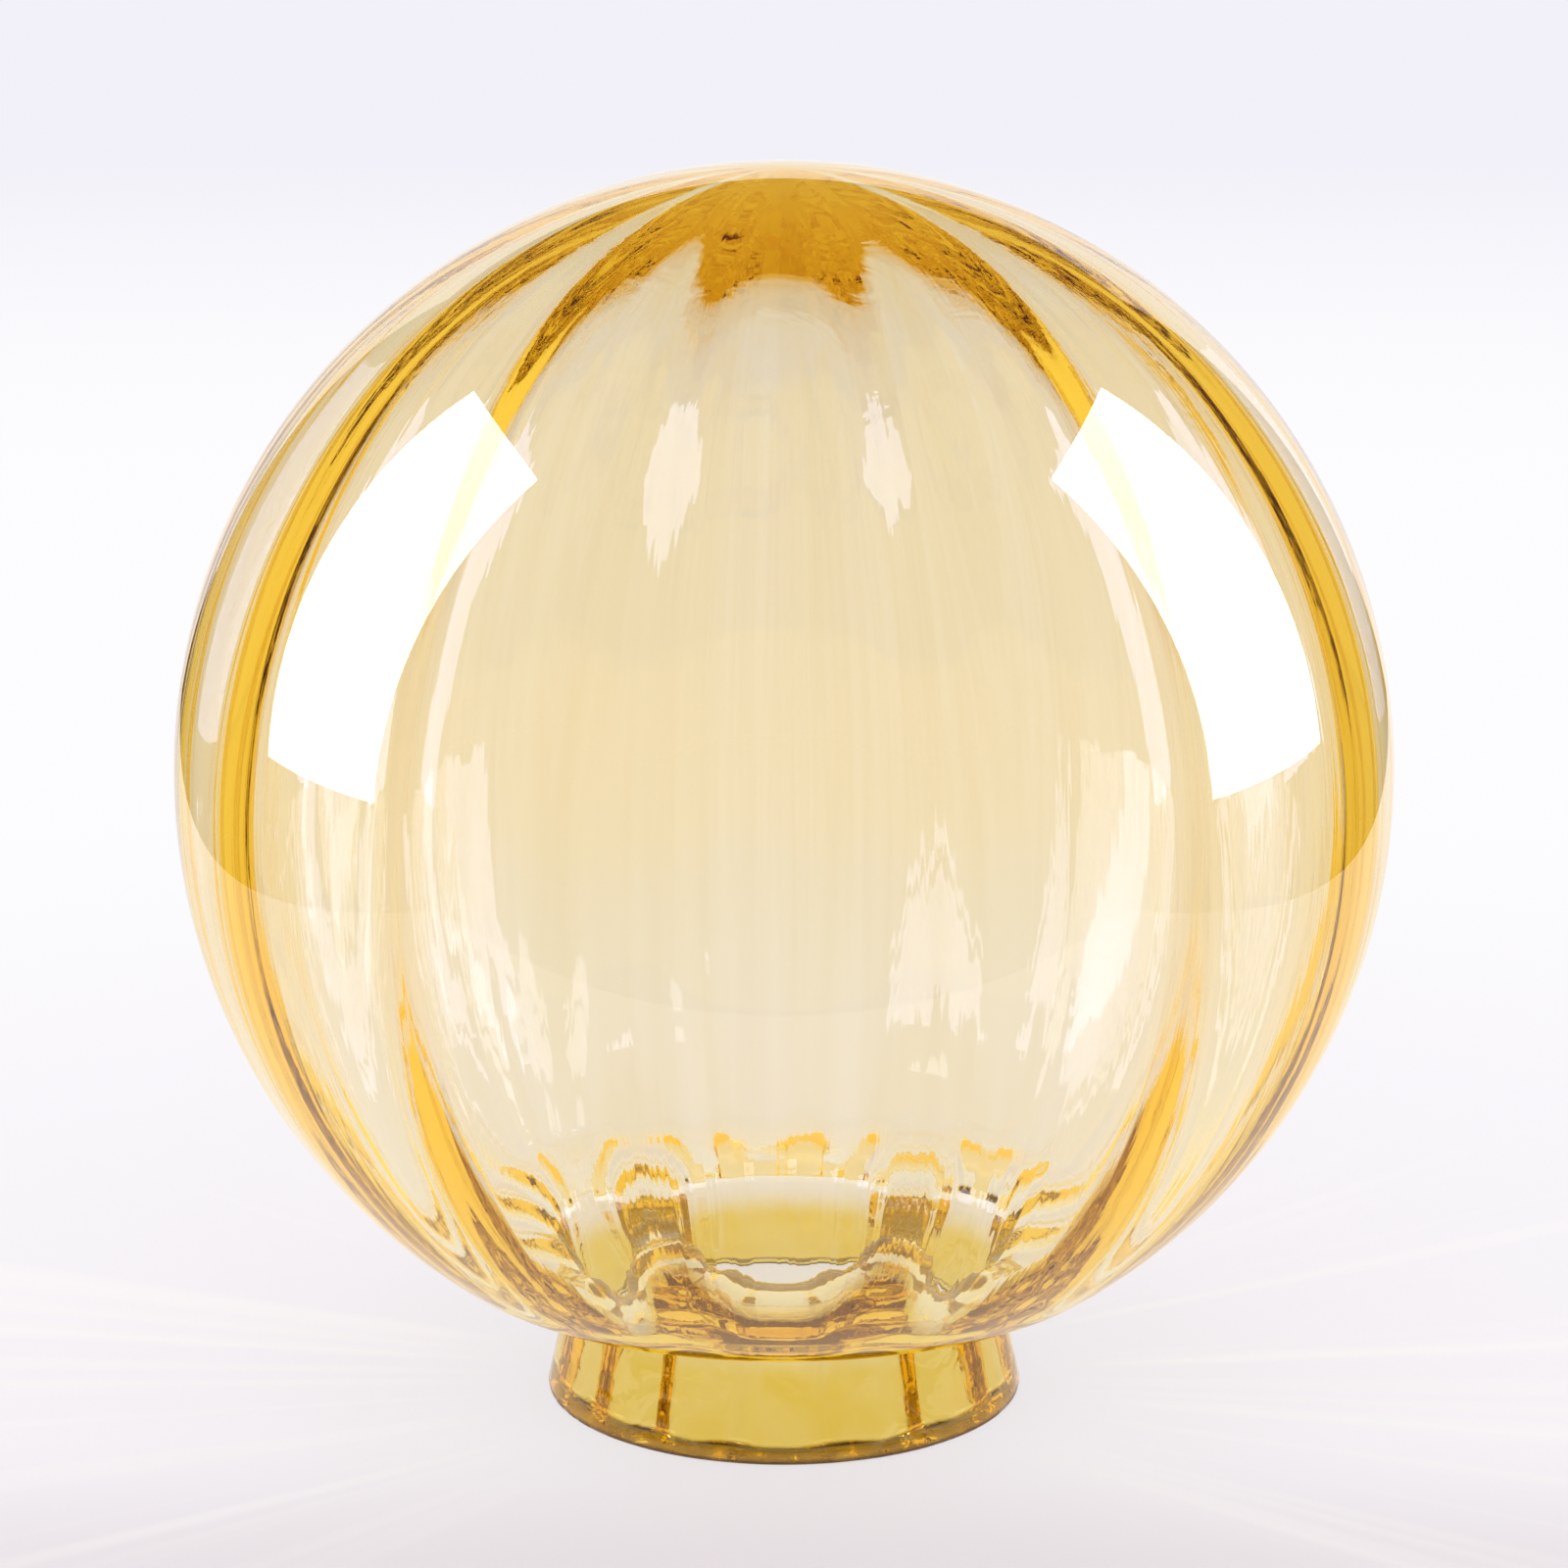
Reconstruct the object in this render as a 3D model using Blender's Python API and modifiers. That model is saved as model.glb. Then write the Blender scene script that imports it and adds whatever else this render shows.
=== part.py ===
"""Ribbed amber glass globe lamp shade, standing on its fitter neck.

Metres, +Z up, with the origin at the centre of the neck's ground rim. The shade is one blown piece of
glass. It is modelled as the named regions of its wall, from the crown down to the neck, each a turned
solid that ends 0.3 mm from the next. The outer face is smooth. The inner face carries the ribs, which
run down it from near the pole to the rim.
"""

import math

import bpy

# The globe
GLOBE_RADIUS = 0.127
GLOBE_CENTRE_HEIGHT = 0.135
SHOULDER_RADIUS = 0.0737

# The fitter neck, whose widest part is its rim
WAIST_RADIUS = 0.0458
WAIST_HEIGHT = 0.0248
WAIST_FILLET = 0.0016
WAIST_SLOPE = math.radians(23)
RIM_RADIUS = 0.0513
RIM_CHAMFER = 0.0007

# The wall, measured square to the outer face, between the ribs
WALL = 0.0027
CROWN_WALL = 0.0110
CROWN_ANGLE = math.radians(47)
CROWN_POWER = 1.8
LOWER_ANGLE = math.radians(103)
WAIST_ANGLE = math.radians(156)
LOWER_GAIN = 0.0045
LOWER_POWER = 1.8
RIM_WALL_GAIN = 0.001

# The ribs, at bearings in degrees from the front, which is -Y, towards +X. Hand blowing left them uneven
RIB_BEARINGS = (16, 42, 70, 96, 122, 148, 173, 198, 223, 248, 272, 298, 321.5, 343)
RIB_DEPTH = 0.0033
RIB_SHARPNESS = 2.0
RIB_FADE_ANGLE = math.radians(62)
# The ribs are shallowest at the girdle, where the globe was blown widest
GIRDLE_LOSS = 0.25
GIRDLE_ANGLE = math.radians(92)
GIRDLE_REACH = math.radians(30)
NECK_RIB_SHARE = 0.65
NECK_RIB_ANGLE = math.radians(150)
NECK_RIB_BLEND = math.radians(60)

# Where one region of the wall ends and the next begins, as angles down from the pole
CROWN_EDGE = math.radians(46)
UPPER_EDGE = math.radians(77)
MIDDLE_EDGE = math.radians(108)
GAP = 0.0003

# Mesh fineness
TURN_STEPS = 112
ARC_STEP = math.radians(6.2)
SHOULDER_STEPS = 5
FILLET_STEPS = 3
NECK_STEPS = 3
MERGE_DISTANCE = 0.00001
SHARP_ANGLE = math.radians(35)

GLASS_COLOUR = (0.93, 0.62, 0.09, 1.0)
GLASS_ROUGHNESS = 0.02
GLASS_IOR = 1.5
COLLECTION_NAME = "globe_lamp_shade"


def clear_scene():
    for item in list(bpy.data.objects):
        bpy.data.objects.remove(item, do_unlink=True)


def amber_glass():
    material = bpy.data.materials.new("amber_glass")
    material.use_nodes = True
    shader = material.node_tree.nodes["Principled BSDF"]
    shader.inputs["Base Color"].default_value = GLASS_COLOUR
    shader.inputs["Roughness"].default_value = GLASS_ROUGHNESS
    shader.inputs["Metallic"].default_value = 0.0
    shader.inputs["IOR"].default_value = GLASS_IOR
    shader.inputs["Transmission Weight"].default_value = 1.0
    return material


def wall_at(radius, height):
    """The wall's thickness behind this point: most at the crown, least at the widest part, more in the neck."""
    angle = math.atan2(radius, height - GLOBE_CENTRE_HEIGHT)
    crown = max(0.0, math.cos(0.5 * math.pi * min(angle / CROWN_ANGLE, 1.0))) ** CROWN_POWER
    low = min(1.0, max(0.0, (angle - LOWER_ANGLE) / (WAIST_ANGLE - LOWER_ANGLE))) ** LOWER_POWER
    rim = max(0.0, 1.0 - height / WAIST_HEIGHT)
    return WALL + (CROWN_WALL - WALL) * crown + LOWER_GAIN * low + RIM_WALL_GAIN * rim


def section(radius, height, normal):
    """One station of the wall: its outer point, the inner point straight behind it, and which way is in."""
    wall = wall_at(radius, height)
    inner = (radius - normal[0] * wall, height - normal[1] * wall)
    return (radius, height), inner, (-normal[0], -normal[1])


def globe_stations(start, end):
    count = max(1, round((end - start) / ARC_STEP))
    stations = []
    for i in range(count + 1):
        angle = start + (end - start) * i / count
        normal = (math.sin(angle), math.cos(angle))
        radius = GLOBE_RADIUS * normal[0]
        height = GLOBE_CENTRE_HEIGHT + GLOBE_RADIUS * normal[1]
        stations.append(section(radius, height, normal))
    return stations


def shoulder_angle():
    """The angle from the pole at which the round globe turns into its flatter shoulder."""
    return math.pi - math.asin(SHOULDER_RADIUS / GLOBE_RADIUS)


def neck_lean():
    """How far the neck's outer face leans out from the vertical, going down."""
    return math.atan2(RIM_RADIUS - WAIST_RADIUS, WAIST_HEIGHT)


def shoulder_stations():
    """From the round globe in to the waist: a curve that leaves the globe smoothly and flattens."""
    angle = shoulder_angle()
    start = (GLOBE_RADIUS * math.sin(angle), GLOBE_CENTRE_HEIGHT + GLOBE_RADIUS * math.cos(angle))
    end = (WAIST_RADIUS + WAIST_FILLET, WAIST_HEIGHT + WAIST_FILLET)
    reach = math.dist(start, end)
    leave = (math.cos(angle) * reach, -math.sin(angle) * reach)
    arrive = (-math.cos(WAIST_SLOPE) * reach, -math.sin(WAIST_SLOPE) * reach)
    stations = []
    for i in range(1, SHOULDER_STEPS + 1):
        t = i / SHOULDER_STEPS
        blend = (2 * t**3 - 3 * t**2 + 1, t**3 - 2 * t**2 + t, -2 * t**3 + 3 * t**2, t**3 - t**2)
        slope = (6 * t**2 - 6 * t, 3 * t**2 - 4 * t + 1, -6 * t**2 + 6 * t, 3 * t**2 - 2 * t)
        ends = list(zip(start, leave, end, arrive))
        point = [sum(share * value for share, value in zip(blend, axis)) for axis in ends]
        along = [sum(share * value for share, value in zip(slope, axis)) for axis in ends]
        length = math.hypot(*along)
        normal = (-along[1] / length, along[0] / length)
        stations.append(section(point[0], point[1], normal))
    return stations


def waist_stations():
    """The hollow fillet under the globe, turning from the shoulder's slope to the neck's."""
    first = math.pi / 2 + WAIST_SLOPE
    last = math.pi - neck_lean()
    centre = (WAIST_RADIUS + WAIST_FILLET, WAIST_HEIGHT)
    stations = []
    for i in range(1, FILLET_STEPS + 1):
        turn = first + (last - first) * i / FILLET_STEPS
        away = (math.cos(turn), math.sin(turn))
        radius = centre[0] + WAIST_FILLET * away[0]
        height = centre[1] + WAIST_FILLET * away[1]
        stations.append(section(radius, height, (-away[0], -away[1])))
    return stations


def neck_stations(top):
    """The flared neck from this height down to the ground rim, both of whose edges are eased."""
    lean = neck_lean()
    inward = (-1.0, 0.0)
    stations = []
    for i in range(NECK_STEPS + 1):
        height = top + (RIM_CHAMFER - top) * i / NECK_STEPS
        radius = RIM_RADIUS - height * math.tan(lean)
        inner = (radius - wall_at(radius, height) / math.cos(lean), height)
        stations.append(((radius, height), inner, inward))
    (outer_radius, _), (inner_radius, _), _ = stations[-1]
    outer = (outer_radius - RIM_CHAMFER, 0.0)
    inner = (inner_radius + RIM_CHAMFER, 0.0)
    stations.append((outer, inner, inward))
    return stations


def ridge_at(bearing):
    """1 on a rib's ridge, 0 half way between two ribs. The bearing is in degrees from the front."""
    stops = [RIB_BEARINGS[-1] - 360, *RIB_BEARINGS, RIB_BEARINGS[0] + 360]
    bearing %= 360
    rib = max(i for i, stop in enumerate(stops) if stop <= bearing)
    turn = rib + (bearing - stops[rib]) / (stops[rib + 1] - stops[rib])
    return (0.5 + 0.5 * math.cos(2 * math.pi * turn)) ** RIB_SHARPNESS


def rib_height(radius, height):
    """How far a rib's ridge stands in from the wall behind this point of the outer face."""
    angle = math.atan2(radius, height - GLOBE_CENTRE_HEIGHT)
    fade = min(1.0, angle / RIB_FADE_ANGLE)
    in_globe = min(1.0, max(0.0, (NECK_RIB_ANGLE - angle) / NECK_RIB_BLEND))
    share = NECK_RIB_SHARE + (1 - NECK_RIB_SHARE) * in_globe
    girdle = 1 - GIRDLE_LOSS * math.exp(-((angle - GIRDLE_ANGLE) / GIRDLE_REACH) ** 2)
    return RIB_DEPTH * share * girdle * fade * fade * (3 - 2 * fade)


def press_ribs(mesh, group_index, stations):
    """Moves the inner face in along each rib, the way that its station faces."""
    for vertex in mesh.vertices:
        if not vertex.groups or vertex.groups[0].group != group_index:
            continue
        x, y, height = vertex.co
        radius = math.hypot(x, y)
        if radius < MERGE_DISTANCE:
            continue
        outer, _, inward = min(stations, key=lambda station: math.dist(station[1], (radius, height)))
        depth = rib_height(*outer) * ridge_at(math.degrees(math.atan2(y, x)) + 90)
        share = 1 + inward[0] * depth / radius
        vertex.co = (x * share, y * share, height + inward[1] * depth)


def turned_region(name, stations, material, collection):
    """A closed wall profile turned about Z, with the ribs pressed into its inner face."""
    outline = [outer for outer, _, _ in stations] + [inner for _, inner, _ in reversed(stations)]
    closed = outline[0][0] > MERGE_DISTANCE
    edges = [(i, i + 1) for i in range(len(outline) - 1)]
    if closed:
        edges.append((len(outline) - 1, 0))
    profile = bpy.data.meshes.new(name + "_profile")
    profile.from_pydata([(radius, 0.0, height) for radius, height in outline], edges, [])
    turned = bpy.data.objects.new(name + "_turned", profile)
    collection.objects.link(turned)
    inner_face = turned.vertex_groups.new(name="inner_face")
    inner_face.add(list(range(len(stations), len(outline))), 1.0, "REPLACE")
    screw = turned.modifiers.new("turn", "SCREW")
    screw.axis = "Z"
    screw.steps = TURN_STEPS
    screw.render_steps = screw.steps
    screw.use_merge_vertices = True
    screw.merge_threshold = MERGE_DISTANCE
    bpy.context.view_layer.update()
    graph = bpy.context.evaluated_depsgraph_get()
    evaluated = turned.evaluated_get(graph)
    mesh = bpy.data.meshes.new_from_object(evaluated, preserve_all_data_layers=True, depsgraph=graph)
    press_ribs(mesh, inner_face.index, stations)
    bpy.data.objects.remove(turned, do_unlink=True)
    bpy.data.meshes.remove(profile)
    mesh.name = name
    mesh.materials.clear()
    mesh.materials.append(material)
    mesh.shade_smooth()
    mesh.set_sharp_from_angle(angle=SHARP_ANGLE)
    collection.objects.link(bpy.data.objects.new(name, mesh))


def build():
    clear_scene()
    collection = bpy.data.collections.new(COLLECTION_NAME)
    bpy.context.scene.collection.children.link(collection)
    glass = amber_glass()
    half_gap = 0.5 * GAP / GLOBE_RADIUS

    turned_region("crown", globe_stations(0.0, CROWN_EDGE - half_gap), glass, collection)
    bands = {
        "upper_globe": (CROWN_EDGE, UPPER_EDGE),
        "middle_globe": (UPPER_EDGE, MIDDLE_EDGE),
        "lower_globe": (MIDDLE_EDGE, shoulder_angle()),
    }
    for name, (start, end) in bands.items():
        turned_region(name, globe_stations(start + half_gap, end - half_gap), glass, collection)
    shoulder_start = globe_stations(shoulder_angle() + half_gap, shoulder_angle() + half_gap)[:1]
    shoulder = shoulder_start + shoulder_stations() + waist_stations()
    turned_region("shoulder", shoulder, glass, collection)
    waist_end = shoulder[-1][0][1]
    turned_region("fitter_neck", neck_stations(waist_end - GAP), glass, collection)


build()
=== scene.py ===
"""The ribbed amber glass globe shade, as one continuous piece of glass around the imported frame."""

import math

import bpy
import numpy as np
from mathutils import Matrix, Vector


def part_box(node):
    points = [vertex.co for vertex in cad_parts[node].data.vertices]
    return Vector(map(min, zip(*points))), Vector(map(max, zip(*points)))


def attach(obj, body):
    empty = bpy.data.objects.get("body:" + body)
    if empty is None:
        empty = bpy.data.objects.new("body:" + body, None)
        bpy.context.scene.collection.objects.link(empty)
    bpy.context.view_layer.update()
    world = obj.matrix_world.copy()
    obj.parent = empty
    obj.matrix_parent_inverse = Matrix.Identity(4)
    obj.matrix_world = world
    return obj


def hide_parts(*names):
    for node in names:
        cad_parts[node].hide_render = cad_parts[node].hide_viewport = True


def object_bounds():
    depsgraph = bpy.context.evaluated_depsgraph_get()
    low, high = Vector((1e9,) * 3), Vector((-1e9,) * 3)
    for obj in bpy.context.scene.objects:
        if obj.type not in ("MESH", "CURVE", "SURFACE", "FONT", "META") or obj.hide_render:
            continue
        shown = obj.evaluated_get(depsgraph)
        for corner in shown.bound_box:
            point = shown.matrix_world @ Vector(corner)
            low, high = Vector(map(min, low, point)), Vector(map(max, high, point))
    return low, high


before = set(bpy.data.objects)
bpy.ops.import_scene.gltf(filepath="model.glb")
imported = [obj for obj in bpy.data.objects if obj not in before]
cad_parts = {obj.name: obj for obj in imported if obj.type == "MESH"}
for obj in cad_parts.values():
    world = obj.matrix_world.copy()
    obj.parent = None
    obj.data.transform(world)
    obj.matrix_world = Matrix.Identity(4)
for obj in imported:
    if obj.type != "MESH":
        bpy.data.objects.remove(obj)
cad_low, cad_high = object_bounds()

# Sizes of the shade. The globe and the neck follow the frame's boxes, and the rest is as in part.py
GLOBE_RADIUS = 0.5 * (cad_high[0] - cad_low[0])
GLOBE_CENTRE = cad_high[2] - GLOBE_RADIUS
NECK_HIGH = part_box("fitter_neck")[1]
RIM_CHAMFER_LOSS = 0.00016
RIM_RADIUS = NECK_HIGH[0] + RIM_CHAMFER_LOSS
WAIST_HEIGHT = NECK_HIGH[2]
WAIST_RADIUS = 0.0458
WAIST_FILLET = 0.0016
WAIST_SLOPE = math.radians(23)
SHOULDER_RADIUS = 0.0737

# The wall between the ribs
WALL = 0.0027
CROWN_WALL = 0.0110
CROWN_ANGLE = math.radians(47)
CROWN_POWER = 1.8
LOWER_ANGLE = math.radians(103)
WAIST_ANGLE = math.radians(156)
LOWER_GAIN = 0.0045
LOWER_POWER = 1.8
RIM_WALL_GAIN = 0.001
RIM_ROUND = 0.0009
RIM_SQUARENESS = 0.35

# The ribs on the inner face, at bearings in degrees from the front, which is -Y, towards +X
RIB_BEARINGS = (16, 42, 70, 96, 122, 148, 173, 198, 223, 248, 272, 298, 321.5, 343)
RIB_DEPTH = 0.0033
RIB_SHARPNESS = 2.0
RIB_FADE_ANGLE = math.radians(62)
GIRDLE_LOSS = 0.25
GIRDLE_ANGLE = math.radians(92)
GIRDLE_REACH = math.radians(30)
NECK_RIB_SHARE = 0.65
NECK_RIB_ANGLE = math.radians(150)
NECK_RIB_BLEND = math.radians(60)

# The mesh
COLUMNS = 288
GLOBE_ROWS = 92
SHOULDER_ROWS = 26
FILLET_ROWS = 8
NECK_ROWS = 14
RIM_ROWS = 6

# The glass: the colour and density of its absorption, and the tint that its skin adds, which also carries
# painted amber light in the neck and painted shade at the ground rim
GLASS_PASSES = (0.965, 0.94, 0.80, 1)
GLASS_DENSITY = 100
GLOBE_TINT = (0.98, 0.93, 0.835, 1)
GLOBE_TINT_DEEP = (0.94, 0.875, 0.735, 1)
LOW_TINT = (1.0, 1.0, 1.0, 1)
# The neck's deep amber is partly the glass's own and partly painted amber light; the rim's near-black brown
# is painted shade
NECK_AMBER_AND_PAINTED_LIGHT = (0.95, 0.77, 0.26, 1)
NECK_AMBER_AND_PAINTED_LIGHT_DEEP = (0.90, 0.67, 0.10, 1)
RIM_PAINTED_SHADE = (0.10, 0.05, 0.015, 1)

# Where the tint and the bump change, each as two heights, without it and with all of it. The first
# three are from the globe's centre, NECK_BAND is from the waist, and the last two are from the ground
CROWN_BAND = (0.055, 0.105)
LOW_BAND = (-0.02, -0.09)
NECK_END_BAND = (-0.075, -0.115)
NECK_BAND = (0.001, -0.008)
RIM_BAND = (0.0017, 0.0007)
WAVES_BAND = (0.024, 0.016)

# Noise scales. The striae change this much more slowly down the glass than around it, and are even
# within LEAST_REACH of the axis, in metres
FINE_SCALE = 30.0
BROAD_SCALE = 9.0
SWIRL_SCALE = 72.0
HAMMER_SCALE = 400.0
CHIP_SCALE = 260.0
STRIA_SLOWNESS = 0.22
LEAST_REACH = 0.004

# How high the bumps stand, in metres
FINE_BUMP = 0.00009
BROAD_BUMP = 0.00008
CROWN_SWIRL_BUMP = 0.00010
NECK_SWIRL_BUMP = 0.00009
HAMMER_BUMP = 0.000012
WAVES_BUMP = 0.00032
SEEDS_PER_METRE = 42.0
SEED_RADIUS = 0.00026
SEED_BUMP = 0.00018

# How strongly noise moves the tint, and which of it leaves the ground rim rough
TINT_CONTRAST = 1.6
POOL_CONTRAST = 1.8
CHIP_LEVEL = -0.06
CHIP_ROUGHNESS = 0.45

# The camera
CAMERA_DISTANCE = 6.5 * GLOBE_RADIUS
CAMERA_ELEVATION = math.radians(12.06)
CAMERA_PITCH = math.radians(12.26)
FOCAL_IN_FRAMES = 2.500625
SENSOR_WIDTH = 36.0

# The studio. Distances on the floor are from the shade's axis
FLOOR_RADIUS = 6.0
FLOOR_DROP = 0.0002
TABLE_SIDE = 0.48
TABLE_FRONT = -0.31
BACKDROP_HALF_WIDTH = math.radians(27)
BACKDROP_TOP = 0.42
FLOOR_GLOW = 0.7
GLOW_BAND = (0.1, 0.7)
NEAR_BAND = (0.10, 0.40)
FRONT_SHADE_BAND = (-0.03, -0.12)
FAR_BAND = (0.9, 5.0)
# Place, width, height, yaw and tilt
SOFTBOX_LEFT = ((-0.9, 0.006, 0.566), 0.554, 0.975, math.radians(7.2), math.radians(21.2))
SOFTBOX_RIGHT = ((0.9, 0.086, 0.585), 0.574, 0.971, math.radians(2.3), math.radians(11.5))
SOFTBOX_GLOW = 14.0
SOFTBOX_GHOST = (4.2, 4.6, 8.0, 1)
CEILING_BAND = (0.3, 0.6)
ROOM = (0.10, 0.095, 0.09, 1)
LIT_ROOM = (1.3, 1.22, 1.1, 1)
WALL_LOW = (0.985, 0.975, 0.99, 1)
WALL_HIGH = (0.885, 0.877, 0.945, 1)
FLOOR_COLOUR = (0.93, 0.91, 0.93, 1)
FLOOR_NEAR = (1.01, 0.98, 1.01, 1)
# A painted shadow on the floor in front of the neck
FLOOR_FRONT_PAINTED_SHADE = (0.85, 0.785, 0.81, 1)
# Painted rays of light on the floor beside the shade
PAINTED_RAY_COLOUR = (1.13, 1.08, 1.03, 1)
RAY_STRENGTH = 2.5
RAY_SCALE = 13.0
RAY_START_BAND = (0.05, 0.09)
RAY_END_BAND = (0.34, 0.12)
RAY_SIDE_BAND = (0.55, 0.85)

# Light that comes back from inside the glass is painted amber here, in the studio, because the glass's own
# absorption leaves it too pale: a painted reflection colour. The first two are cosines of bearings from
# straight behind the shade, between which a single glancing reflection turns from clear to painted amber
CLEAR_WITHIN = math.cos(math.radians(20))
PAINTED_AMBER_BEYOND = math.cos(math.radians(34))
PAINTED_AMBER_ONCE = (1.1, 0.86, 0.13, 1)
PAINTED_AMBER_MORE = (1.22, 0.87, 0.13, 1)

LIGHT_BOUNCES = 64


# ---------------------------------------------------------------- node helpers

def feed(tree, target, value):
    """Links a socket to the target, or sets a plain value on it."""
    if isinstance(value, bpy.types.NodeSocket):
        tree.links.new(value, target)
    else:
        target.default_value = value


def node(tree, kind, **inputs):
    """A node with its inputs fed: by name, with _ for a space, or by number, as _0."""
    made = tree.nodes.new(kind)
    for name, value in inputs.items():
        key = int(name[1:]) if name[0] == "_" else name.replace("_", " ")
        feed(tree, made.inputs[key], value)
    return made


def maths(tree, operation, *values, clamp=False):
    made = tree.nodes.new("ShaderNodeMath")
    made.operation = operation
    made.use_clamp = clamp
    for target, value in zip(made.inputs, values):
        feed(tree, target, value)
    return made.outputs[0]


def product(tree, first, *others):
    for other in others:
        first = maths(tree, "MULTIPLY", first, other)
    return first


def total(tree, first, *others):
    for other in others:
        first = maths(tree, "ADD", first, other)
    return first


def distance(tree, x, y):
    """The distance of a point from the shade's axis."""
    return maths(tree, "SQRT", total(tree, product(tree, x, x), product(tree, y, y)))


def mix_colour(tree, factor, first, second, blend="MIX"):
    made = tree.nodes.new("ShaderNodeMix")
    made.data_type = "RGBA"
    made.blend_type = blend
    for target, value in zip((made.inputs[0], made.inputs[6], made.inputs[7]), (factor, first, second)):
        feed(tree, target, value)
    return made.outputs[2]


def grade(tree, value, band, base=0.0, least=0.0):
    """The least below the band's first value, 1 above its second, and smooth between.

    The band is measured from the base, and its first value may be the larger.
    """
    made = node(
        tree, "ShaderNodeMapRange", Value=value, From_Min=base + band[0], From_Max=base + band[1],
        To_Min=least,
    )
    made.interpolation_type = "SMOOTHSTEP"
    return made.outputs[0]


def noise(tree, vector, scale, detail=2.0, distortion=0.0):
    """A noise texture's value, spread about zero."""
    made = node(tree, "ShaderNodeTexNoise", Vector=vector, Scale=scale, Detail=detail, Distortion=distortion)
    return maths(tree, "SUBTRACT", made.outputs[0], 0.5)


# ---------------------------------------------------------------- the glass

def outer_profile():
    """Stations down the outer face: radius, height and the outward normal."""
    rows = []
    shoulder_angle = math.pi - math.asin(SHOULDER_RADIUS / GLOBE_RADIUS)
    for i in range(GLOBE_ROWS + 1):
        angle = shoulder_angle * i / GLOBE_ROWS
        across, up = math.sin(angle), math.cos(angle)
        rows.append((GLOBE_RADIUS * across, GLOBE_CENTRE + GLOBE_RADIUS * up, across, up))
    start = rows[-1][:2]
    end = (WAIST_RADIUS + WAIST_FILLET, WAIST_HEIGHT + WAIST_FILLET)
    reach = math.dist(start, end)
    leave = (math.cos(shoulder_angle) * reach, -math.sin(shoulder_angle) * reach)
    arrive = (-math.cos(WAIST_SLOPE) * reach, -math.sin(WAIST_SLOPE) * reach)
    for i in range(1, SHOULDER_ROWS + 1):
        t = i / SHOULDER_ROWS
        blend = (2 * t**3 - 3 * t**2 + 1, t**3 - 2 * t**2 + t, -2 * t**3 + 3 * t**2, t**3 - t**2)
        slope = (6 * t**2 - 6 * t, 3 * t**2 - 4 * t + 1, -6 * t**2 + 6 * t, 3 * t**2 - 2 * t)
        ends = list(zip(start, leave, end, arrive))
        point = [sum(s * v for s, v in zip(blend, axis)) for axis in ends]
        along = [sum(s * v for s, v in zip(slope, axis)) for axis in ends]
        length = math.hypot(*along)
        rows.append((point[0], point[1], -along[1] / length, along[0] / length))
    lean = math.atan2(RIM_RADIUS - WAIST_RADIUS, WAIST_HEIGHT)
    first = math.pi / 2 + WAIST_SLOPE
    last = math.pi - lean
    for i in range(1, FILLET_ROWS + 1):
        turn = first + (last - first) * i / FILLET_ROWS
        across, up = math.cos(turn), math.sin(turn)
        radius = WAIST_RADIUS + WAIST_FILLET * (1 + across)
        rows.append((radius, WAIST_HEIGHT + WAIST_FILLET * up, -across, -up))
    top = rows[-1][1]
    for i in range(1, NECK_ROWS + 1):
        height = top + (RIM_ROUND - top) * i / NECK_ROWS
        rows.append((RIM_RADIUS - height * math.tan(lean), height, math.cos(lean), math.sin(lean)))
    return np.array(rows)


def wall_at(radius, height):
    """The wall's thickness between the ribs: thickest at the crown, thin at the girdle, thick at the neck."""
    angle = np.arctan2(radius, height - GLOBE_CENTRE)
    crown = np.cos(0.5 * np.pi * np.minimum(angle / CROWN_ANGLE, 1)).clip(0, 1) ** CROWN_POWER
    low = np.clip((angle - LOWER_ANGLE) / (WAIST_ANGLE - LOWER_ANGLE), 0, 1) ** LOWER_POWER
    rim = np.clip(1 - height / WAIST_HEIGHT, 0, 1)
    return WALL + (CROWN_WALL - WALL) * crown + LOWER_GAIN * low + RIM_WALL_GAIN * rim


def turns_of_rib(bearing):
    """Which rib a bearing is at, counted from the front: whole on a ridge, and a half between two."""
    stops = [RIB_BEARINGS[-1] - 360, *RIB_BEARINGS, RIB_BEARINGS[0] + 360]
    return np.interp(bearing % 360, stops, np.arange(len(stops)))


def rib_at(around, radius, height):
    """How far the inner face stands in at a rib: one row per station, one column per direction."""
    bearing = np.degrees(around) + 90
    ridge = (0.5 + 0.5 * np.cos(2 * np.pi * turns_of_rib(bearing))) ** RIB_SHARPNESS
    angle = np.arctan2(radius, height - GLOBE_CENTRE)
    fade = np.clip(angle / RIB_FADE_ANGLE, 0, 1)
    fade = fade * fade * (3 - 2 * fade)
    in_globe = np.clip((NECK_RIB_ANGLE - angle) / NECK_RIB_BLEND, 0, 1)
    share = NECK_RIB_SHARE + (1 - NECK_RIB_SHARE) * in_globe
    girdle = 1 - GIRDLE_LOSS * np.exp(-(((angle - GIRDLE_ANGLE) / GIRDLE_REACH) ** 2))
    return RIB_DEPTH * (fade * share * girdle)[:, None] * ridge[None, :]


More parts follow.
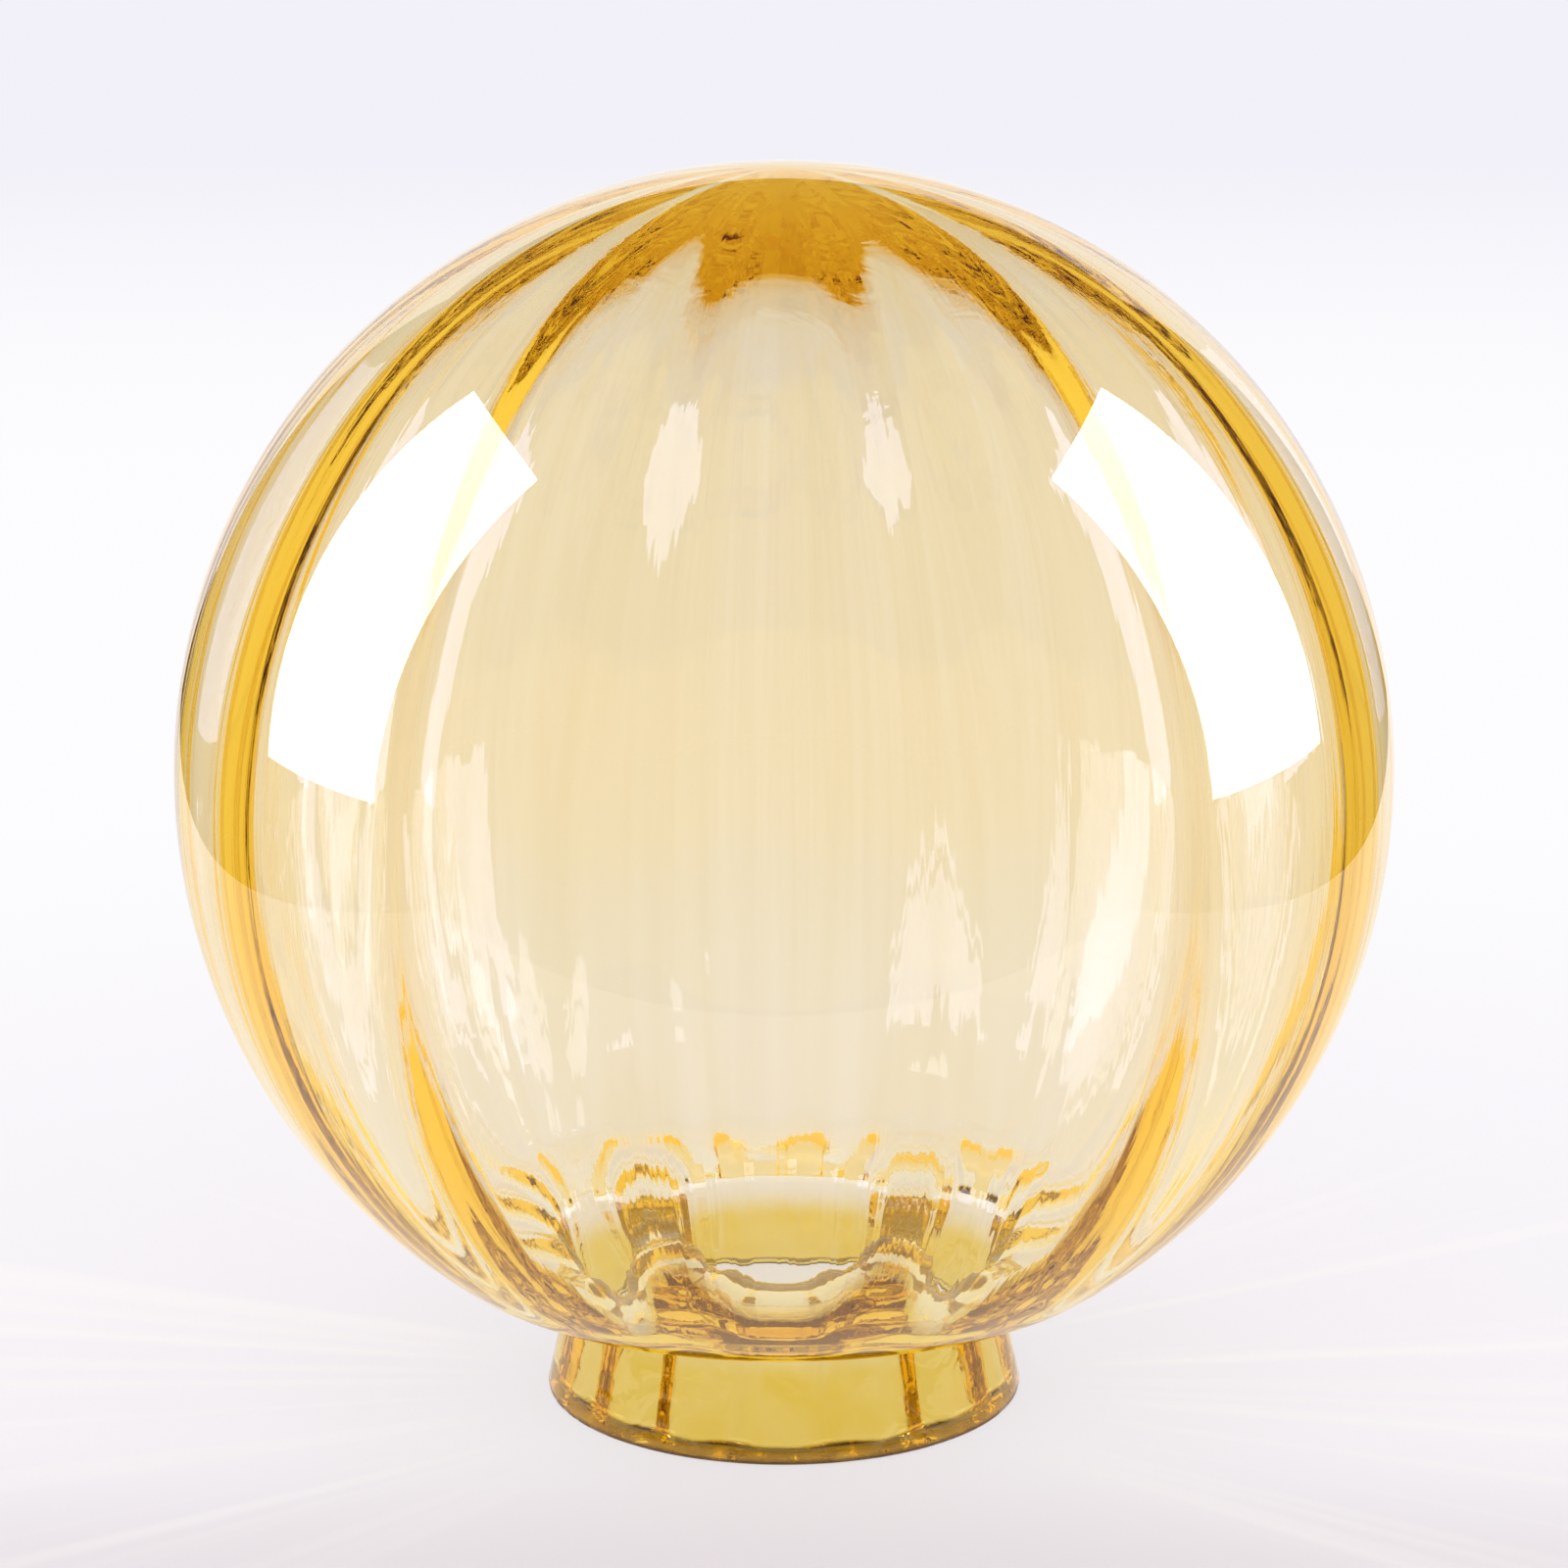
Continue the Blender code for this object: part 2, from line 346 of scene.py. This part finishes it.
def glass_mesh():
    profile = outer_profile()
    radius, height, across, up = profile.T
    around = np.arange(COLUMNS) * 2 * np.pi / COLUMNS
    thick = wall_at(radius, height)[:, None] + rib_at(around, radius, height)
    inner_radius = radius[:, None] - across[:, None] * thick
    inner_height = height[:, None] - up[:, None] * thick
    outer_radius = np.repeat(radius[:, None], COLUMNS, 1)
    outer_height = np.repeat(height[:, None], COLUMNS, 1)
    # The rim: a ground flat between two rounded edges
    turn = np.linspace(0, 1, RIM_ROWS + 2)[1:-1, None] * np.pi
    middle = 0.5 * (outer_radius[-1] + inner_radius[-1])
    half = 0.5 * (outer_radius[-1] - inner_radius[-1])
    rim_radius = middle + half * np.sign(np.cos(turn)) * np.abs(np.cos(turn)) ** RIM_SQUARENESS
    rim_height = RIM_ROUND - RIM_ROUND * np.sin(turn) ** RIM_SQUARENESS * np.ones(COLUMNS)
    inner_height[-1] = RIM_ROUND
    # Rings from under the outer pole, round the rim and back up to the inner pole
    rings_r = np.concatenate([outer_radius[1:], rim_radius, inner_radius[:0:-1]])
    rings_z = np.concatenate([outer_height[1:], rim_height, inner_height[:0:-1]])
    rows = len(rings_r)
    points = np.stack([rings_r * np.cos(around), rings_r * np.sin(around), rings_z], 2).reshape(-1, 3)
    poles = [[0, 0, outer_height[0, 0]], [0, 0, inner_height[0, 0]]]
    points = np.concatenate([points, poles])
    top, bottom = rows * COLUMNS, rows * COLUMNS + 1
    index = np.arange(rows * COLUMNS).reshape(rows, COLUMNS)
    right = np.roll(index, -1, 1)
    quads = np.stack([index[:-1], index[1:], right[1:], right[:-1]], 2).reshape(-1, 4)
    faces = quads.tolist()
    faces += [(top, int(a), int(b)) for a, b in zip(index[0], right[0])]
    faces += [(int(a), bottom, int(b)) for a, b in zip(index[-1], right[-1])]
    mesh = bpy.data.meshes.new("globe_shade")
    mesh.from_pydata(points.tolist(), [], faces)
    inside = np.zeros(len(points), np.float32)
    inside[(len(outer_radius) - 1 + RIM_ROWS) * COLUMNS:top] = 1
    inside[bottom] = 1
    mesh.attributes.new("inner_face", "FLOAT", "POINT").data.foreach_set("value", inside)
    mesh.shade_smooth()
    return mesh


def glass_material():
    material = bpy.data.materials.new("amber_glass")
    material.use_nodes = True
    tree = material.node_tree
    shader = tree.nodes["Principled BSDF"]
    shader.inputs["IOR"].default_value = 1.5
    shader.inputs["Transmission Weight"].default_value = 1.0
    absorption = node(tree, "ShaderNodeVolumeAbsorption")
    absorption.inputs["Color"].default_value = GLASS_PASSES
    absorption.inputs["Density"].default_value = GLASS_DENSITY
    tree.links.new(absorption.outputs[0], tree.nodes["Material Output"].inputs["Volume"])

    place = node(tree, "ShaderNodeTexCoord").outputs["Object"]
    x, y, z = node(tree, "ShaderNodeSeparateXYZ", _0=place).outputs
    reach = maths(tree, "MAXIMUM", distance(tree, x, y), LEAST_REACH)
    around = node(
        tree, "ShaderNodeCombineXYZ", X=maths(tree, "DIVIDE", x, reach), Y=maths(tree, "DIVIDE", y, reach),
        Z=product(tree, z, STRIA_SLOWNESS),
    ).outputs[0]
    inner = node(tree, "ShaderNodeAttribute")
    inner.attribute_name = "inner_face"
    inner = inner.outputs["Fac"]
    outer = maths(tree, "SUBTRACT", 1.0, inner)

    near_crown = grade(tree, z, CROWN_BAND, GLOBE_CENTRE)
    near_neck = grade(tree, z, NECK_END_BAND, GLOBE_CENTRE)
    fine = noise(tree, around, FINE_SCALE, 2.5)
    broad = noise(tree, around, BROAD_SCALE, 1.0)
    swirl = noise(tree, place, SWIRL_SCALE, 2.0, 1.5)

    # The tint is drawn out in faint lines. It fades out low on the globe. In the neck it deepens, partly the
    # glass's own amber and partly painted amber light from the floor seen through the neck, and at the ground
    # rim it turns near-black brown, painted shade where the glass meets the floor
    low_down = grade(tree, z, LOW_BAND, GLOBE_CENTRE)
    in_neck = grade(tree, z, NECK_BAND, WAIST_HEIGHT)
    on_rim = grade(tree, z, RIM_BAND)
    drawn = maths(tree, "ADD", product(tree, fine, TINT_CONTRAST), 0.5, clamp=True)
    colour = mix_colour(tree, drawn, GLOBE_TINT, GLOBE_TINT_DEEP)
    colour = mix_colour(tree, low_down, colour, LOW_TINT)
    pooled = maths(tree, "ADD", product(tree, swirl, POOL_CONTRAST), 0.5, clamp=True)
    colour = mix_colour(tree, in_neck, colour, mix_colour(tree, pooled, NECK_AMBER_AND_PAINTED_LIGHT, NECK_AMBER_AND_PAINTED_LIGHT_DEEP))
    colour = mix_colour(tree, on_rim, colour, RIM_PAINTED_SHADE)
    tree.links.new(colour, shader.inputs["Base Color"])
    chipped = maths(tree, "GREATER_THAN", noise(tree, place, CHIP_SCALE, 2.0), CHIP_LEVEL)
    tree.links.new(product(tree, on_rim, chipped, CHIP_ROUGHNESS), shader.inputs["Roughness"])

    # Striae run down the inner face, which swirls in the crown and is hammered near the neck
    lines = total(tree, product(tree, fine, FINE_BUMP), product(tree, broad, BROAD_BUMP))
    lines = product(tree, lines, maths(tree, "DIVIDE", reach, GLOBE_RADIUS))
    swirl_height = total(
        tree, product(tree, near_crown, CROWN_SWIRL_BUMP), product(tree, near_neck, NECK_SWIRL_BUMP)
    )
    hammered = product(tree, noise(tree, place, HAMMER_SCALE, 0.0), near_neck, HAMMER_BUMP)
    inside = product(tree, total(tree, lines, product(tree, swirl, swirl_height), hammered), inner)

    # The outer face is fire polished over a few seeds, with soft waves in the neck
    cell = node(tree, "ShaderNodeTexVoronoi", Vector=place, Scale=SEEDS_PER_METRE).outputs["Distance"]
    seed = product(tree, grade(tree, cell, (0.0, SEED_RADIUS * SEEDS_PER_METRE)), SEED_BUMP)
    waves = product(tree, swirl, grade(tree, z, WAVES_BAND), WAVES_BUMP)
    outside = product(tree, total(tree, seed, waves), outer)

    bump = node(tree, "ShaderNodeBump", Strength=1.0, Distance=1.0, Height=total(tree, inside, outside))
    tree.links.new(bump.outputs[0], shader.inputs["Normal"])
    return material


shade = bpy.data.objects.new("globe_shade", glass_mesh())
bpy.context.scene.collection.objects.link(shade)
shade.data.materials.append(glass_material())
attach(shade, "root")
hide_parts("crown", "upper_globe", "middle_globe", "lower_globe", "shoulder", "fitter_neck")


# ---------------------------------------------------------------- the studio

def reflections(tree, count):
    """1 on a path that the glass has reflected this many times, 0 on any other."""
    depth = node(tree, "ShaderNodeLightPath").outputs["Glossy Depth"]
    return maths(tree, "COMPARE", depth, float(count), 0.5)


def from_inside(tree, outer_depth):
    """1 on a path that has been inside the glass.

    outer_depth is the ray depth of a path that only met the glass's outer face.
    """
    steps = node(tree, "ShaderNodeLightPath").outputs["Ray Depth"]
    return maths(tree, "GREATER_THAN", steps, outer_depth + 0.5)


def painted_amber_reflection(tree, colour, outer_depth, behind):
    """This colour of the studio, painted amber where it is seen off the inner face once or many times: a
    painted reflection colour.

    behind is the cosine of its bearing from straight behind the shade, where a glancing path stays clear.
    """
    glancing = grade(tree, behind, (CLEAR_WITHIN, PAINTED_AMBER_BEYOND))
    once = product(tree, reflections(tree, 1), from_inside(tree, outer_depth), glancing)
    more = maths(tree, "GREATER_THAN", node(tree, "ShaderNodeLightPath").outputs["Glossy Depth"], 1.5)
    amber_paint = mix_colour(tree, once, (1, 1, 1, 1), PAINTED_AMBER_ONCE)
    amber_paint = mix_colour(tree, more, amber_paint, PAINTED_AMBER_MORE)
    return mix_colour(tree, 1.0, colour, amber_paint, "MULTIPLY")


def studio_floor():
    bpy.ops.mesh.primitive_circle_add(
        vertices=128, radius=FLOOR_RADIUS, fill_type="NGON", location=(0, 0, -FLOOR_DROP)
    )
    floor = bpy.context.object
    floor.name = "studio_floor"
    material = bpy.data.materials.new("white_floor")
    material.use_nodes = True
    tree = material.node_tree
    tree.nodes.clear()
    place = node(tree, "ShaderNodeTexCoord").outputs["Object"]
    x, y, _ = node(tree, "ShaderNodeSeparateXYZ", _0=place).outputs
    away = distance(tree, x, y)
    behind = maths(tree, "DIVIDE", y, away)
    beside = maths(tree, "DIVIDE", x, away)

    tone = mix_colour(tree, grade(tree, away, NEAR_BAND), FLOOR_NEAR, WALL_LOW)
    # Painted shadow: the floor darkens in front of the shade's neck
    tone = mix_colour(tree, grade(tree, y, FRONT_SHADE_BAND), tone, FLOOR_FRONT_PAINTED_SHADE)
    tone = mix_colour(tree, grade(tree, away, FAR_BAND), tone, WALL_HIGH)
    # Faint rays of light painted on the floor on both sides, where the glass would throw them
    bearing = node(tree, "ShaderNodeCombineXYZ", X=beside, Y=behind).outputs[0]
    sideways = grade(tree, maths(tree, "ABSOLUTE", beside), RAY_SIDE_BAND)
    reach = product(tree, grade(tree, away, RAY_START_BAND), grade(tree, away, RAY_END_BAND))
    rays = product(tree, noise(tree, bearing, RAY_SCALE, 1.5), product(tree, reach, sideways))
    tone = mix_colour(tree, maths(tree, "MULTIPLY", rays, RAY_STRENGTH, clamp=True), tone, PAINTED_RAY_COLOUR)

    # The table glows more and more towards the backdrop
    diffuse = node(tree, "ShaderNodeBsdfDiffuse", Color=painted_amber_reflection(tree, FLOOR_COLOUR, 1, behind)).outputs[0]
    glow = node(tree, "ShaderNodeEmission", Color=painted_amber_reflection(tree, tone, 1, behind), Strength=1.0).outputs[0]
    fade = grade(tree, away, GLOW_BAND, least=FLOOR_GLOW)
    seen = node(tree, "ShaderNodeMixShader", _0=fade, _1=diffuse, _2=glow).outputs[0]

    # A reflection shows the room past the table's edges. The sweep behind is as wide as the backdrop
    off_side = maths(tree, "GREATER_THAN", maths(tree, "ABSOLUTE", x), TABLE_SIDE)
    off_sweep = maths(tree, "LESS_THAN", behind, math.cos(BACKDROP_HALF_WIDTH))
    off_front = maths(tree, "LESS_THAN", y, TABLE_FRONT)
    off_table = maths(tree, "MAXIMUM", product(tree, off_side, off_sweep), off_front)
    dim = mix_colour(tree, from_inside(tree, 1), ROOM, LIT_ROOM)
    room = node(tree, "ShaderNodeEmission", Color=painted_amber_reflection(tree, dim, 1, behind), Strength=1.0).outputs[0]
    hidden = product(tree, off_table, reflections(tree, 1))
    mixed = node(tree, "ShaderNodeMixShader", _0=hidden, _1=seen, _2=room).outputs[0]
    tree.links.new(mixed, node(tree, "ShaderNodeOutputMaterial").inputs[0])
    floor.data.materials.append(material)


def studio_world():
    world = bpy.data.worlds.new("studio")
    bpy.context.scene.world = world
    world.use_nodes = True
    tree = world.node_tree
    tree.nodes.clear()
    way = node(tree, "ShaderNodeTexCoord").outputs["Generated"]
    x, y, z = node(tree, "ShaderNodeSeparateXYZ", _0=way).outputs
    behind = maths(tree, "DIVIDE", y, distance(tree, x, y))
    wall = mix_colour(tree, reflections(tree, 0), WALL_LOW, WALL_HIGH)
    within = maths(tree, "GREATER_THAN", behind, math.cos(BACKDROP_HALF_WIDTH))
    on_backdrop = product(tree, within, maths(tree, "LESS_THAN", z, BACKDROP_TOP))
    # The world counts one step more than a surface does
    inner = from_inside(tree, 2)
    ceiling = product(tree, inner, grade(tree, z, CEILING_BAND))
    dim = mix_colour(tree, inner, ROOM, LIT_ROOM)
    room = mix_colour(tree, maths(tree, "MAXIMUM", on_backdrop, ceiling), dim, WALL_LOW)
    colour = mix_colour(tree, reflections(tree, 1), wall, room)
    background = node(tree, "ShaderNodeBackground", Color=painted_amber_reflection(tree, colour, 2, behind), Strength=1.0)
    tree.links.new(background.outputs[0], node(tree, "ShaderNodeOutputWorld").inputs[0])


def softbox(name, side, place, width, height, yaw, tilt):
    """A tall soft light beside the shade, seen only in reflections."""
    bpy.ops.mesh.primitive_plane_add(size=1, location=place)
    box = bpy.context.object
    box.name = name
    facing = Vector((-side * math.cos(yaw) * math.cos(tilt), math.sin(yaw) * math.cos(tilt), -math.sin(tilt)))
    box.rotation_euler = facing.to_track_quat("Z", "Y").to_euler()
    box.scale = (width, height, 1)
    material = bpy.data.materials.new(name)
    material.use_nodes = True
    tree = material.node_tree
    tree.nodes.clear()
    direct = (SOFTBOX_GLOW, SOFTBOX_GLOW, SOFTBOX_GLOW, 1)
    strength = mix_colour(tree, from_inside(tree, 1), direct, SOFTBOX_GHOST)
    glow = node(tree, "ShaderNodeEmission", Color=strength, Strength=1.0).outputs[0]
    clear = node(tree, "ShaderNodeBsdfTransparent").outputs[0]
    mixed = node(tree, "ShaderNodeMixShader", _0=reflections(tree, 1), _1=clear, _2=glow).outputs[0]
    tree.links.new(mixed, node(tree, "ShaderNodeOutputMaterial").inputs[0])
    box.data.materials.append(material)
    box.visible_camera = False
    box.visible_diffuse = False


def camera():
    data = bpy.data.cameras.new("camera")
    data.sensor_fit = "HORIZONTAL"
    data.sensor_width = SENSOR_WIDTH
    data.lens = SENSOR_WIDTH * FOCAL_IN_FRAMES
    data.clip_start = 0.01
    data.clip_end = 50
    made = bpy.data.objects.new("camera", data)
    bpy.context.scene.collection.objects.link(made)
    back = CAMERA_DISTANCE * math.cos(CAMERA_ELEVATION)
    rise = CAMERA_DISTANCE * math.sin(CAMERA_ELEVATION)
    made.location = (0, -back, GLOBE_CENTRE + rise)
    made.rotation_euler = (math.pi / 2 - CAMERA_PITCH, 0, 0)
    bpy.context.scene.camera = made


studio_floor()
studio_world()
softbox("softbox_left", -1, *SOFTBOX_LEFT)
softbox("softbox_right", 1, *SOFTBOX_RIGHT)
camera()

scene = bpy.context.scene
scene.view_settings.view_transform = "Standard"
scene.cycles.max_bounces = LIGHT_BOUNCES
scene.cycles.transmission_bounces = LIGHT_BOUNCES
scene.cycles.glossy_bounces = LIGHT_BOUNCES
scene.cycles.volume_bounces = 0
scene.cycles.use_denoising = True
